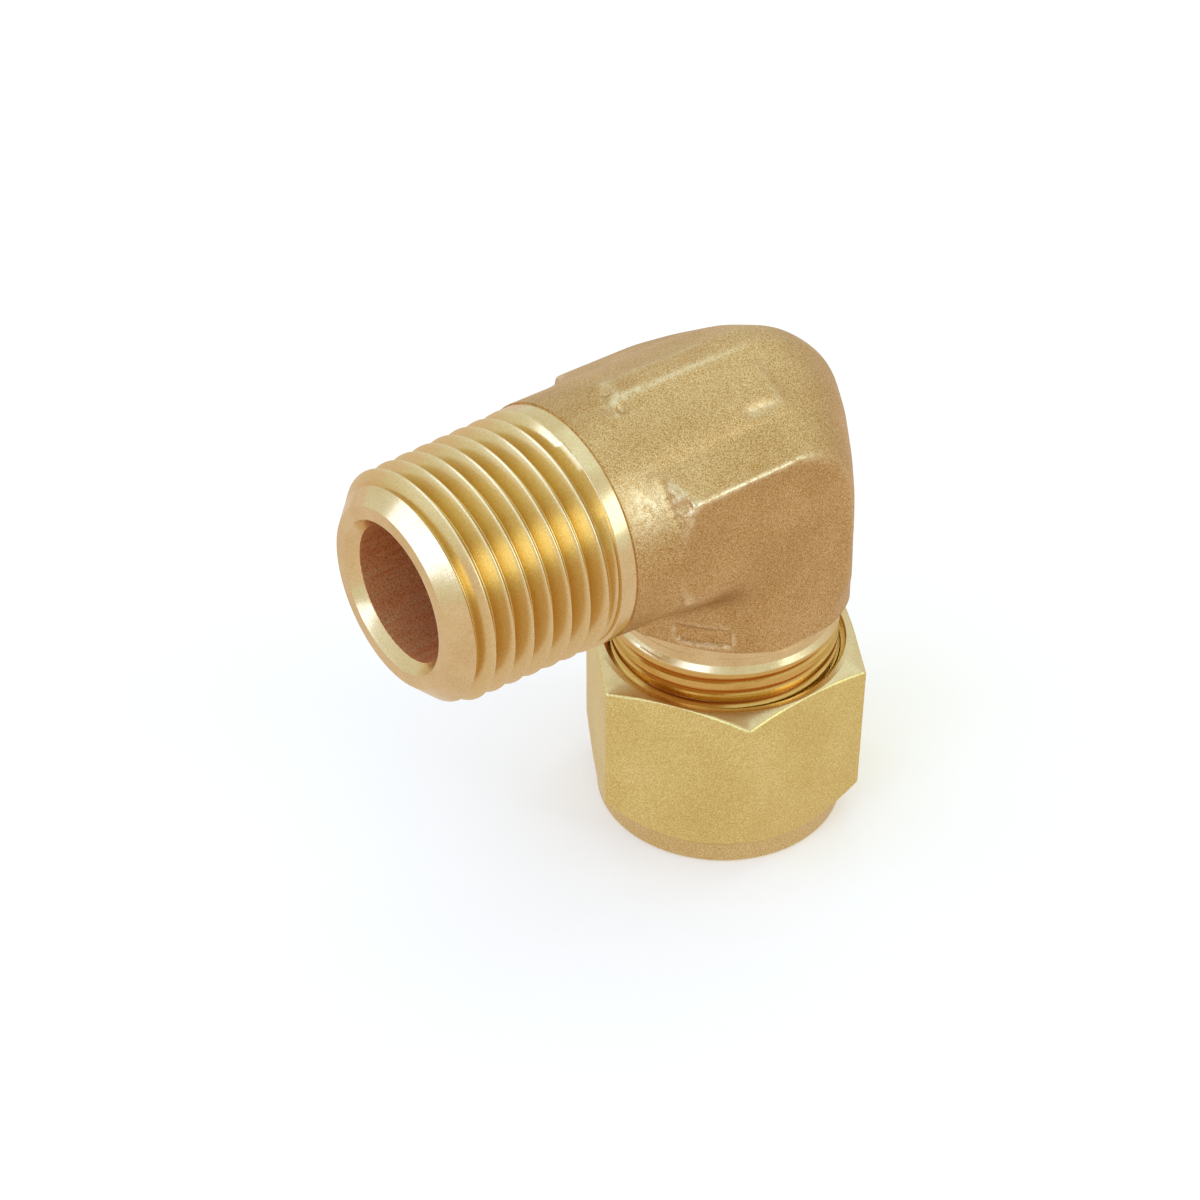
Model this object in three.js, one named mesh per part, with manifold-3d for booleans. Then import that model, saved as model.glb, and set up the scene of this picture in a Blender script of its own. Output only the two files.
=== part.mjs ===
// A forged brass male elbow for tube: a tapered pipe thread on one leg, and on the other a neck with a
// fine parallel thread, a nut and the two ferrules that grip the tube.
// Millimetres, +Z up. The elbow stands on its nut, the pipe leg points along -X, and the plane of both
// axes is y = 0. The origin is under the middle of the whole fitting.
import * as THREE from "three";
import { mergeVertices } from "three/addons/utils/BufferGeometryUtils.js";
import Module from "manifold-3d";

// Driving dimensions

const inch = 25.4;

// Layout, from the point where the two axes cross
const centreToPipeEnd = 35.5;
const centreToNutEnd = 38.3;

// Forging: how far each leg reaches from its own axis at three distances from the plane of both axes, and
// the round of the bend there. The face is the wrench flat, and the land is what the dies' parting line
// leaves. The tube leg's barrel stands out over the neck's crests by its step, and from the crossing down to
// the end of the block its radius grows by its flare.
const forging = {
  face: { distance: 11.05, pipeReach: 5.5, tubeReach: 4.65, bendRadius: 7.5, innerRadius: 3.5 },
  shoulder: { distance: 5, pipeReach: 8.95, tubeReach: 8.95, bendRadius: 8.5, innerRadius: 2.5 },
  land: { distance: 1.2, pipeReach: 11.1, tubeReach: 11.6, bendRadius: 11.8, innerRadius: 2 },
  pipeBlockLength: 12.1,
  pipeFilletLength: 3.4,
  tubeBlockLength: 10.9,
  tubeFilletLength: 2.4,
  endSlantDegrees: 6.5,
  pipeBarrelRadius: 10.75,
  pipeBarrelEnd: 18.7,
  tubeBarrelStep: 0.15,
  tubeBarrelFlare: 0.9,
  tubeBarrelEnd: 14.15,
};

// Tapered pipe thread, 14 turns to the inch
const pipeThread = {
  pitch: inch / 14,
  endCrestRadius: 10.1,
  depth: 1.36,
  radiusPerLength: 1 / 32,
  crestFlat: 0.14,
  rootFlat: 0.12,
  crestFromCentre: 32.93,
  bandRadius: 10.6,
  bandLength: 1.1,
  endRingRadius: 7.92,
};

// Flow passages
const passage = { radius: 6, pipeMouthRadius: 6.75, pipeMouthDepth: 1, drillTip: 2.8 };

// Tube that the fitting takes
const tube = { diameter: 15.875, bodyClearance: 0.08, nutClearance: 0.16, stopFromCentre: 14 };

// Neck and nut thread, 20 turns to the inch. The wall stands between the thread and the cone's mouth, and
// the plain part behind the thread lies under the crests by its step.
const neckThread = {
  pitch: inch / 20,
  wall: 0.692,
  depth: 0.78,
  crestFlat: 0.16,
  rootFlat: 0.16,
  crestFromCentre: 17.9,
  fit: 0.16,
  reliefStep: 0.45,
  reliefLength: 2.2,
  endFromCentre: 29.6,
  endChamfer: 0.6,
};

// Nut. Its wall is the least there is between the thread's crests and a flat, and the steps are
// how far its top and its collar lie inside the flats.
const nut = {
  sides: 6,
  wall: 1.05,
  length: 18.1,
  topStep: 0.15,
  topChamferDegrees: 20,
  collarStep: 0.25,
  collarHeight: 2.2,
  collarEdge: 0.35,
  mouthWidth: 0.35,
  threadLength: 10,
  holeEdge: 0.4,
};

// Ferrules, and the cone in the neck that the front one seats in
const ferrule = {
  coneDegrees: 12,
  coneDepth: 6.4,
  noseLength: 4.6,
  shoulderLength: 2.1,
  backRing: 1.6,
  backStep: 0.4,
  pocketDepth: 1.3,
  boreClearance: 0.03,
  outerClearance: 0.3,
  seatGap: 0.2,
};

// How finely curved surfaces are cut into flat faces
const turnFaces = 36;
const roundFaces = 6;
const filletFaces = 3;
const overrun = 1;

// Values worked out from the sizes above. All radii of the tube leg follow from the tube: its socket, the
// cone that widens it, the neck's thread round the cone, and the nut round the thread.

const tangent = (degrees) => Math.tan(THREE.MathUtils.degToRad(degrees));

const tubeRadius = tube.diameter / 2;
const socketRadius = tubeRadius + tube.bodyClearance;
const coneMouthRadius = socketRadius + ferrule.coneDepth * tangent(ferrule.coneDegrees);
const neckRootRadius = coneMouthRadius + neckThread.wall;
const neckCrestRadius = neckRootRadius + neckThread.depth;
const reliefRadius = neckCrestRadius - neckThread.reliefStep;
const tubeBarrelRadius = neckCrestRadius + forging.tubeBarrelStep;
const nutMinorRadius = neckRootRadius + neckThread.fit;
const nutMouthRadius = neckCrestRadius + nut.mouthWidth;
const nutFlatRadius = neckCrestRadius + nut.wall;
const nutCollarRadius = nutFlatRadius - nut.collarStep;
const nutCornerRadius = nutFlatRadius / Math.cos(Math.PI / nut.sides);
// The nut's corner points along +X, so the whole fitting reaches from the pipe end to that corner.
const centreX = (centreToPipeEnd - nutCornerRadius) / 2;

// Solids

const wasm = await Module();
wasm.setup();

function solid(geometry) {
  const bare = geometry.clone();
  bare.deleteAttribute("normal");
  bare.deleteAttribute("uv");
  const merged = mergeVertices(bare, 1e-5);
  return new wasm.Manifold(
    new wasm.Mesh({
      numProp: 3,
      vertProperties: merged.attributes.position.array,
      triVerts: new Uint32Array(merged.index.array),
    }),
  );
}

function geometryOf(body) {
  const mesh = body.getMesh();
  const geometry = new THREE.BufferGeometry();
  geometry.setAttribute("position", new THREE.BufferAttribute(mesh.vertProperties, 3));
  geometry.setIndex(new THREE.BufferAttribute(mesh.triVerts, 1));
  return geometry;
}

// A turned solid about +Z from [radius, height] points that climb from its lower end to its upper end.
function turned(points) {
  const closed = [[0, points[0][1]], ...points, [0, points.at(-1)[1]]];
  const profile = closed.map(([radius, height]) => new THREE.Vector2(radius, height));
  return new THREE.LatheGeometry(profile, turnFaces).rotateX(Math.PI / 2);
}

const cylinder = (radius, low, high) => turned([[radius, low], [radius, high]]);

// A prism of the section given as [across, along] points, from low to high along +Z.
function prism(points, low, high) {
  const outline = new THREE.Shape(points.map(([x, y]) => new THREE.Vector2(x, y)));
  const geometry = new THREE.ExtrudeGeometry(outline, { depth: high - low, bevelEnabled: false });
  return geometry.translate(0, 0, low);
}

// A right-hand screw about +Z that reaches past low and high: a V profile with flats on its crest and root,
// swept up one pitch a turn. Each column of points holds the same profile a little further up, and the
// column after the last is the first one, a pitch higher. Both ends are closed to a point on the axis.
function screw(thread, crestRadiusAt, low, high) {
  const { pitch, depth, crestFlat, rootFlat, crestFromCentre } = thread;
  const flank = (pitch - crestFlat - rootFlat) / 2;
  const profile = [
    [0, 0],
    [crestFlat, 0],
    [crestFlat + flank, depth],
    [crestFlat + flank + rootFlat, depth],
  ];
  const firstCrest = crestFromCentre - crestFlat / 2;
  const start = firstCrest - pitch * Math.ceil((firstCrest - low) / pitch + 1);
  const top = profile.length * Math.ceil((high - start) / pitch);
  const columnPoints = top + profile.length + 1;
  const positions = [];
  for (let column = 0; column < turnFaces; column++) {
    const share = column / turnFaces;
    const angle = share * 2 * Math.PI;
    for (let row = 0; row < columnPoints; row++) {
      const [along, drop] = profile[row % profile.length];
      const height = start + pitch * (Math.floor(row / profile.length) + share) + along;
      const radius = crestRadiusAt(height) - drop;
      positions.push(radius * Math.cos(angle), radius * Math.sin(angle), height);
    }
  }
  const lowCentre = positions.length / 3;
  const highCentre = lowCentre + 1;
  positions.push(0, 0, start);
  positions.push(0, 0, start + (pitch * top) / profile.length);
  const at = (column, row) =>
    column < turnFaces ? column * columnPoints + row : row + profile.length;
  const index = [];
  for (let column = 0; column < turnFaces; column++) {
    for (let row = 0; row < top; row++) {
      index.push(at(column, row), at(column + 1, row), at(column + 1, row + 1));
      index.push(at(column, row), at(column + 1, row + 1), at(column, row + 1));
    }
    index.push(lowCentre, at(column + 1, 0), at(column, 0));
    index.push(highCentre, at(column, top), at(column + 1, top));
  }
  for (let row = 0; row < profile.length; row++) {
    index.push(lowCentre, at(0, row), at(0, row + 1));
    index.push(highCentre, at(0, top + row + 1), at(0, top + row));
  }
  const geometry = new THREE.BufferGeometry();
  geometry.setAttribute("position", new THREE.Float32BufferAttribute(positions, 3));
  geometry.setIndex(index);
  return geometry;
}

// Both legs are made pointing up +Z from the crossing of the axes, then turned into place.
const toPipeLeg = (geometry) => geometry.rotateY(-Math.PI / 2);
const toTubeLeg = (geometry) => geometry.rotateX(Math.PI);

// Forged blank

// One level of the forging: the outline of both legs as seen along Y, as [x, z] points that run along the
// top of the pipe leg, round the bend, down the tube leg and back through the inner corner.
function forgedOutline({ pipeReach, tubeReach, bendRadius, innerRadius }) {
  const pipeLength = forging.pipeBarrelEnd - overrun;
  const tubeLength = forging.tubeBarrelEnd - overrun;
  const round = (x, z, radius, from, to) =>
    Array.from({ length: roundFaces + 1 }, (_, step) => {
      const angle = from + ((to - from) * step) / roundFaces;
      return [x + radius * Math.cos(angle), z + radius * Math.sin(angle)];
    });
  return [
    [-pipeLength, pipeReach],
    ...round(tubeReach - bendRadius, pipeReach - bendRadius, bendRadius, Math.PI / 2, 0),
    [tubeReach, -tubeLength],
    [-tubeReach, -tubeLength],
    ...round(-tubeReach - innerRadius, -pipeReach - innerRadius, innerRadius, 0, Math.PI / 2),
    [-pipeLength, -pipeReach],
  ];
}

// The forging without its round ends: the outlines of all levels, one behind the other along Y.
function forgedBlock() {
  const { face, shoulder, land } = forging;
  const half = [face, shoulder, land];
  const levels = [
    ...half.map((level) => [-level.distance, level]),
    ...half.toReversed().map((level) => [level.distance, level]),
  ];
  const outlines = levels.map(([y, level]) => forgedOutline(level).map(([x, z]) => [x, y, z]));
  const size = outlines[0].length;
  const index = [];
  for (let level = 0; level + 1 < outlines.length; level++) {
    for (let point = 0; point < size; point++) {
      const near = level * size + point;
      const nearNext = level * size + ((point + 1) % size);
      index.push(near, nearNext + size, near + size);
      index.push(near, nearNext, nearNext + size);
    }
  }
  const contour = outlines[0].map(([x, , z]) => new THREE.Vector2(x, z));
  const back = (outlines.length - 1) * size;
  for (const [a, b, c] of THREE.ShapeUtils.triangulateShape(contour, [])) {
    index.push(a, b, c);
    index.push(back + a, back + c, back + b);
  }
  const geometry = new THREE.BufferGeometry();
  geometry.setAttribute("position", new THREE.Float32BufferAttribute(outlines.flat(2), 3));
  geometry.setIndex(index);
  return geometry;
}

// What the fillet between a leg's block and its round barrel takes away, all round the leg.
function endFillet(blockLength, filletLength, barrelRadius, barrelEnd) {
  const { distance, pipeReach } = forging.face;
  const corner = Math.hypot(distance, pipeReach);
  const fillet = Array.from({ length: filletFaces + 1 }, (_, step) => {
    const angle = (step * Math.PI) / (2 * filletFaces);
    return [
      corner - (corner - barrelRadius) * Math.sin(angle),
      blockLength + filletLength * (1 - Math.cos(angle)),
    ];
  });
  const wide = corner + overrun;
  const profile = [
    [wide, blockLength],
    ...fillet,
    [barrelRadius, barrelEnd + overrun],
    [wide, barrelEnd + overrun],
    [wide, blockLength],
  ].map(([radius, height]) => new THREE.Vector2(radius, height));
  return new THREE.LatheGeometry(profile.toReversed(), turnFaces).rotateX(Math.PI / 2);
}

function forgedBlank() {
  const { pipeBlockLength, pipeFilletLength, pipeBarrelRadius, pipeBarrelEnd } = forging;
  const { tubeBlockLength, tubeFilletLength, tubeBarrelFlare, tubeBarrelEnd } = forging;
  // The block of the pipe leg reaches further on the near side than on the far one.
  const slant = new THREE.Matrix4().makeShear(0, 0, tangent(forging.endSlantDegrees), 0, 0, 0);
  const pipeFillet = endFillet(pipeBlockLength, pipeFilletLength, pipeBarrelRadius, pipeBarrelEnd);
  const tubeFillet = endFillet(tubeBlockLength, tubeFilletLength, tubeBarrelRadius, tubeBarrelEnd);
  const block = solid(forgedBlock())
    .subtract(solid(toPipeLeg(pipeFillet).applyMatrix4(slant)))
    .subtract(solid(toTubeLeg(tubeFillet)));
  const pipeBarrel = toPipeLeg(cylinder(pipeBarrelRadius, 0, pipeBarrelEnd));
  const tubeBarrel = toTubeLeg(
    turned([
      [tubeBarrelRadius - tubeBarrelFlare, 0],
      [tubeBarrelRadius, tubeBlockLength],
      [tubeBarrelRadius, tubeBarrelEnd],
    ]),
  );
  return block.add(solid(pipeBarrel)).add(solid(tubeBarrel));
}

// Machined ends

function pipeEnd() {
  const threadStart = forging.pipeBarrelEnd + pipeThread.bandLength;
  const crestRadiusAt = (height) =>
    pipeThread.endCrestRadius + (centreToPipeEnd - height) * pipeThread.radiusPerLength;
  const endChamfer = crestRadiusAt(centreToPipeEnd) - pipeThread.endRingRadius;
  const envelope = solid(
    turned([
      [crestRadiusAt(threadStart), threadStart - overrun],
      [crestRadiusAt(threadStart), threadStart],
      [crestRadiusAt(centreToPipeEnd - endChamfer), centreToPipeEnd - endChamfer],
      [pipeThread.endRingRadius, centreToPipeEnd],
    ]),
  );
  const thread = solid(screw(pipeThread, crestRadiusAt, threadStart - overrun, centreToPipeEnd));
  const band = solid(cylinder(pipeThread.bandRadius, forging.pipeBarrelEnd - overrun, threadStart));
  return solid(toPipeLeg(geometryOf(thread.intersect(envelope).add(band))));
}

function neck() {
  const { reliefLength, endFromCentre, endChamfer } = neckThread;
  const threadStart = forging.tubeBarrelEnd + reliefLength;
  const envelope = solid(
    turned([
      [neckRootRadius, threadStart - overrun],
      [reliefRadius, threadStart],
      [neckCrestRadius, threadStart + neckCrestRadius - reliefRadius],
      [neckCrestRadius, endFromCentre - endChamfer],
      [neckCrestRadius - endChamfer, endFromCentre],
    ]),
  );
  const thread = solid(screw(neckThread, () => neckCrestRadius, threadStart - overrun, endFromCentre));
  const relief = solid(cylinder(reliefRadius, forging.tubeBarrelEnd - overrun, threadStart));
  return solid(toTubeLeg(geometryOf(thread.intersect(envelope).add(relief))));
}

// A drilled passage from the leg's end to just past the other leg's axis, with the drill's point.
function drilled(end) {
  return turned([
    [0, -passage.radius - passage.drillTip],
    [passage.radius, -passage.drillTip],
    [passage.radius, end + overrun],
  ]);
}

function pipePassage() {
  const mouthSlope = (passage.pipeMouthRadius - passage.radius) / passage.pipeMouthDepth;
  const mouth = turned([
    [passage.radius, centreToPipeEnd - passage.pipeMouthDepth],
    [passage.pipeMouthRadius + overrun * mouthSlope, centreToPipeEnd + overrun],
  ]);
  return solid(toPipeLeg(drilled(centreToPipeEnd))).add(solid(toPipeLeg(mouth)));
}

function tubePassage() {
  const end = neckThread.endFromCentre;
  const socket = turned([
    [socketRadius, tube.stopFromCentre],
    [socketRadius, end - ferrule.coneDepth],
    [coneMouthRadius, end],
    [coneMouthRadius, end + overrun],
  ]);
  return solid(toTubeLeg(drilled(tube.stopFromCentre))).add(solid(toTubeLeg(socket)));
}

function elbowBody() {
  const blank = forgedBlank().add(pipeEnd()).add(neck());
  return blank.subtract(pipePassage()).subtract(tubePassage());
}

// What lies inside the nut, as heights above its tube end. The ferrules are stacked down from the neck's
// end: the front one's rim under the neck, the back one in the front one's pocket, and the nut's seat
// under them both.
const nutHoleRadius = tubeRadius + tube.nutClearance;
const ferruleBore = tubeRadius + ferrule.boreClearance;
const frontRadius = nutMinorRadius - ferrule.outerClearance;
const backRadius = frontRadius - ferrule.backStep;
const neckEnd = centreToNutEnd - neckThread.endFromCentre;
const frontRimTop = neckEnd - ferrule.seatGap;
const frontFloor = frontRimTop - ferrule.shoulderLength;
const backRimTop = frontFloor - ferrule.seatGap;
const backHeelTop = backRimTop - ferrule.backRing;
const backFloor = backHeelTop - (backRadius - nutHoleRadius);
const seatFloor = backFloor - ferrule.seatGap;

// Nut, made standing on its tube end at height 0

function nutBlank() {
  const corners = Array.from({ length: nut.sides }, (_, corner) => {
    const angle = (2 * corner * Math.PI) / nut.sides;
    return [nutCornerRadius * Math.cos(angle), nutCornerRadius * Math.sin(angle)];
  });
  const { collarEdge, collarHeight, length } = nut;
  const wide = nutCornerRadius + overrun;
  const topRadius = nutFlatRadius - nut.topStep;
  const topDrop = (wide - topRadius) * tangent(nut.topChamferDegrees);
  const envelope = turned([
    [nutCollarRadius - collarEdge, 0],
    [nutCollarRadius, collarEdge],
    [nutCollarRadius, collarHeight],
    [wide, collarHeight + wide - nutCollarRadius],
    [wide, length - topDrop],
    [topRadius, length],
  ]);
  return solid(prism(corners, 0, length)).intersect(solid(envelope));
}

function nutHollow() {
  const { length, holeEdge, threadLength } = nut;
  const widerRadius = neckCrestRadius + neckThread.fit;
  const threadLow = length - threadLength;
  const bore = turned([
    [nutHoleRadius + holeEdge + overrun, -overrun],
    [nutHoleRadius, holeEdge],
    [nutHoleRadius, seatFloor],
    [nutMinorRadius, seatFloor + nutMinorRadius - nutHoleRadius],
    [nutMinorRadius, length - (nutMouthRadius - nutMinorRadius)],
    [nutMouthRadius + overrun, length + overrun],
  ]);
  // The neck's own thread, wider by the fit, in the place that it has in the nut
  const wider = screw(neckThread, () => widerRadius, centreToNutEnd - length - overrun, centreToNutEnd);
  const thread = toTubeLeg(wider).translate(0, 0, centreToNutEnd);
  const threadRoom = turned([
    [nutMinorRadius, threadLow],
    [widerRadius + overrun, threadLow + widerRadius + overrun - nutMinorRadius],
    [widerRadius + overrun, length + overrun],
  ]);
  return solid(bore).add(solid(thread).intersect(solid(threadRoom)));
}

const nutBody = () => nutBlank().subtract(nutHollow());

// Ferrules, made in place on the nut's axis

// The back ring: a heel on the nut's seat, a rim, and a nose in the front ferrule's pocket.
function backFerrule() {
  const { pocketDepth, seatGap } = ferrule;
  const noseTop = backRimTop + pocketDepth;
  const outer = turned([
    [nutHoleRadius, backFloor],
    [backRadius, backHeelTop],
    [backRadius, backRimTop],
    [nutHoleRadius + pocketDepth - seatGap, backRimTop],
    [nutHoleRadius, noseTop - seatGap],
  ]);
  const bore = cylinder(ferruleBore, backFloor - overrun, noseTop);
  return solid(outer).subtract(solid(bore));
}

// The front ring: a pocket for the back one, a rim, and a long nose in the neck's cone.
function frontFerrule() {
  const { coneDegrees, noseLength, pocketDepth, seatGap } = ferrule;
  const noseBase = coneMouthRadius - seatGap;
  const noseTop = frontRimTop + noseLength;
  const outer = turned([
    [frontRadius, frontFloor],
    [frontRadius, frontRimTop],
    [noseBase, frontRimTop],
    [noseBase - noseLength * tangent(coneDegrees), noseTop],
  ]);
  const pocket = turned([
    [nutHoleRadius + pocketDepth + overrun, frontFloor - overrun],
    [nutHoleRadius, frontFloor + pocketDepth],
  ]);
  const bore = cylinder(ferruleBore, frontFloor - overrun, noseTop + overrun);
  return solid(outer).subtract(solid(pocket)).subtract(solid(bore));
}

// Finishes

const brass = (colour, roughness) =>
  new THREE.MeshStandardMaterial({ color: colour, roughness, metalness: 1 });

// The scene graph

function piece(name, body, material) {
  const mesh = new THREE.Mesh(geometryOf(body), material);
  mesh.name = name;
  return mesh;
}

const elbow = new THREE.Group();
elbow.position.set(centreX, 0, centreToNutEnd);
elbow.add(piece("elbow_body", elbowBody(), brass(0xc8a566, 0.45)));

const nutGroup = new THREE.Group();
nutGroup.position.set(centreX, 0, 0);
nutGroup.add(piece("compression_nut", nutBody(), brass(0xd0b46c, 0.35)));
nutGroup.add(piece("back_ferrule", backFerrule(), brass(0xcda04e, 0.25)));
nutGroup.add(piece("front_ferrule", frontFerrule(), brass(0xcda04e, 0.25)));

const fitting = new THREE.Group();
fitting.add(elbow, nutGroup);

export default fitting;
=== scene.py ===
import math

import bpy
import numpy as np
from mathutils import Matrix, Vector


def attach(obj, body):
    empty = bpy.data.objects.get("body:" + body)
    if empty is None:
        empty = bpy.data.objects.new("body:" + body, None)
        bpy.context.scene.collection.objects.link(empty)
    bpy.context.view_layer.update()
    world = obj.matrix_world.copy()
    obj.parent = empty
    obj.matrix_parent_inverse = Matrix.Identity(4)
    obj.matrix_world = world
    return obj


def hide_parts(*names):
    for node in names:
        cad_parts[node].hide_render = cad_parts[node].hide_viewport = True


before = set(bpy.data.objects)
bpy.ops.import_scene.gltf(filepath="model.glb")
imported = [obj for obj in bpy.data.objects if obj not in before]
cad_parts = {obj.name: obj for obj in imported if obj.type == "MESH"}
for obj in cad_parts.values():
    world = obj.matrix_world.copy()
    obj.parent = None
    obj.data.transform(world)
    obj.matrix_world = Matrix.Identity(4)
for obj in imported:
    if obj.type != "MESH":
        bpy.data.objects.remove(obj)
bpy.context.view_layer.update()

MM = 0.001
INCH = 25.4

# Sizes. They are the frame's, apart from those that a comment calls the scene's own.

CENTRE_TO_PIPE_END = 35.5
CENTRE_TO_NUT_END = 38.3

# How far each leg of the forging reaches from its axis at four distances from the plane of both axes. The
# cheek, the reach at the tube leg's end and the lift of the far upper edge are the scene's own.
FACE = {"distance": 11.05, "pipe": 5.5, "tube": 4.65, "tube_end": 5.2, "bend": 7.5, "inner": 3.5}
CHEEK = {"distance": 8.3, "pipe": 7.2, "tube": 6.75, "tube_end": 7.65, "bend": 8.0, "inner": 3.0}
SHOULDER = {"distance": 5.0, "pipe": 8.95, "tube": 8.95, "tube_end": 9.4, "bend": 8.5, "inner": 2.5}
LAND = {"distance": 1.2, "pipe": 11.1, "tube": 11.6, "tube_end": 11.6, "bend": 11.8, "inner": 2.0}
FAR_LIFT = 0.35
PIPE_BLOCK, PIPE_FILLET = 12.1, 3.4
TUBE_BLOCK, TUBE_FILLET, TUBE_CORNER = 10.9, 2.4, 11.35
END_SLANT = math.tan(math.radians(6.5))
PIPE_BARREL, PIPE_BARREL_END = 10.75, 18.7
TUBE_BARREL_END = 14.15

# Taper pipe thread. The crests' width and the band's length are the scene's own.
PIPE_PITCH = INCH / 14
PIPE_END_CREST = 10.1
PIPE_DEPTH = 1.36
PIPE_TAPER = 1 / 32
PIPE_CREST, PIPE_ROOT = 0.09, 0.12
PIPE_CREST_AT = 32.93
BAND_RADIUS, BAND_LENGTH = 10.6, 1.5
END_RING, END_RING_ROUND = 7.92, 0.12

BORE = 6.0
DRILL_TIP = 2.8
PIPE_MOUTH, PIPE_MOUTH_DEPTH = 6.75, 1.0

TUBE = 15.875 / 2
SOCKET = TUBE + 0.08
NUT_HOLE = TUBE + 0.16
FERRULE_BORE = TUBE + 0.03
TUBE_STOP = 14.0

NECK_PITCH = INCH / 20
NECK_WALL = 0.692
NECK_DEPTH = 0.78
NECK_CREST_FLAT, NECK_ROOT_FLAT = 0.16, 0.16
NECK_CREST_AT = 17.9
THREAD_FIT = 0.16
RELIEF_LENGTH = 2.2
NECK_END, NECK_CHAMFER = 29.6, 0.6

NUT_WALL = 1.05
NUT_LENGTH = 18.1
NUT_TOP_SLOPE = math.tan(math.radians(20))
COLLAR_HEIGHT = 2.2
NUT_THREAD = 10.0
HOLE_EDGE = 0.4
NUT_EDGE = 0.3  # the round of its upright edges, the scene's own

CONE = math.tan(math.radians(12))
CONE_DEPTH = 6.4
NOSE = 4.6
FRONT_RIM, BACK_RIM, BACK_STEP, POCKET = 2.1, 1.6, 0.4, 1.3
SEAT_GAP = 0.2

# Half a side of a hexagon, seen from its middle
HALF_SIDE = math.radians(30)

# Worked out from the sizes above. How far the relief lies under the crests is the scene's own.
CONE_MOUTH = SOCKET + CONE_DEPTH * CONE
NECK_CREST = CONE_MOUTH + NECK_WALL + NECK_DEPTH
RELIEF = NECK_CREST - 0.8
TUBE_BARREL = NECK_CREST + 0.15
TUBE_BARREL_FLARE = 0.9
NUT_MINOR = NECK_CREST - NECK_DEPTH + THREAD_FIT
NUT_MOUTH = NECK_CREST + 0.35
NUT_FLAT = NECK_CREST + NUT_WALL
NUT_TOP = NUT_FLAT - 0.15
COLLAR = NUT_FLAT - 0.25
NUT_CORNER = NUT_FLAT / math.cos(HALF_SIDE)
CROSSING = Vector(((CENTRE_TO_PIPE_END - NUT_CORNER) / 2, 0, CENTRE_TO_NUT_END))

NECK_TOP = CENTRE_TO_NUT_END - NECK_END
FRONT_RADIUS = NUT_MINOR - 0.3
BACK_RADIUS = FRONT_RADIUS - BACK_STEP
FRONT_TOP = NECK_TOP - SEAT_GAP
FRONT_FLOOR = FRONT_TOP - FRONT_RIM
BACK_TOP = FRONT_FLOOR - SEAT_GAP
BACK_HEEL = BACK_TOP - BACK_RIM
BACK_FLOOR = BACK_HEEL - (BACK_RADIUS - NUT_HOLE)
SEAT_FLOOR = BACK_FLOOR - SEAT_GAP

# How finely round forms are cut
ROUND = 160
BEND_STEPS = 24
FILLET_POINTS = 9
FORGING_VOXEL = 0.25

# How far the barrels reach past their ends before they are cut off, and tools past what they cut
BARREL_SPARE, FILLET_SPARE, CUT_SPARE = 2, 3, 4
CUT_RADIUS = 14

# How far the turned ends sink into the forging, so that no slit shows between them
LAP = 0.02

# Radius of the point at which a profile ends at the axis
AXIS = 0.01

# How far the middle of a face may lie off the surface that it belongs to
NEAR = 0.02

# Each leg is made along +Z from the crossing of the axes and then turned: the pipe leg to -X, the tube
# leg to -Z. The nut and the ferrules are made in place over the floor.
PIPE_LEG = Matrix.Translation(CROSSING) @ Matrix(((0, 0, -1, 0), (0, 1, 0, 0), (1, 0, 0, 0), (0, 0, 0, 1)))
TUBE_LEG = Matrix.Translation(CROSSING) @ Matrix(((1, 0, 0, 0), (0, -1, 0, 0), (0, 0, -1, 0), (0, 0, 0, 1)))
AT_CROSSING = Matrix.Translation(CROSSING)
ON_NUT_AXIS = Matrix.Translation(Vector((CROSSING.x, 0, 0)))


# Meshes

def mesh_object(name, vertices, faces, place):
    """A mesh object at the origin whose vertices are the given points, moved by place, in metres."""
    points = np.asarray(vertices, dtype=float)
    turn = np.array(place)
    points = (points @ turn[:3, :3].T + turn[:3, 3]) * MM
    mesh = bpy.data.meshes.new(name)
    mesh.from_pydata(points.tolist(), [], faces)
    mesh.validate()
    obj = bpy.data.objects.new(name, mesh)
    bpy.context.scene.collection.objects.link(obj)
    return obj


TINY = 1e-9
NEARLY_STRAIGHT = math.radians(89)
SIDE_SHARE = 0.48


def rounded(points, steps=4):
    """A polyline of (x, y, radius) corners with each corner rounded by its radius. A round takes up no
    more than the side share of the lines it joins."""
    corners = [np.array(p[:2], dtype=float) for p in points]
    result = [tuple(corners[0])]
    for i in range(1, len(points) - 1):
        before, here, after = corners[i - 1], corners[i], corners[i + 1]
        radius = points[i][2] if len(points[i]) > 2 else 0
        a, b = before - here, after - here
        la, lb = np.linalg.norm(a), np.linalg.norm(b)
        if radius <= 0 or la < TINY or lb < TINY:
            result.append(tuple(here))
            continue
        a, b = a / la, b / lb
        half = math.acos(max(-1.0, min(1.0, float(a @ b)))) / 2
        if half > NEARLY_STRAIGHT:
            result.append(tuple(here))
            continue
        reach = min(radius / math.tan(half), la * SIDE_SHARE, lb * SIDE_SHARE)
        radius = reach * math.tan(half)
        middle = here + (a + b) / np.linalg.norm(a + b) * radius / math.sin(half)
        first, last = here + a * reach - middle, here + b * reach - middle
        sweep = math.pi - 2 * half
        for k in range(steps + 1):
            t = k / steps
            point = (math.sin((1 - t) * sweep) * first + math.sin(t * sweep) * last) / math.sin(sweep)
            result.append(tuple(middle + point))
    result.append(tuple(corners[-1]))
    return result


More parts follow.
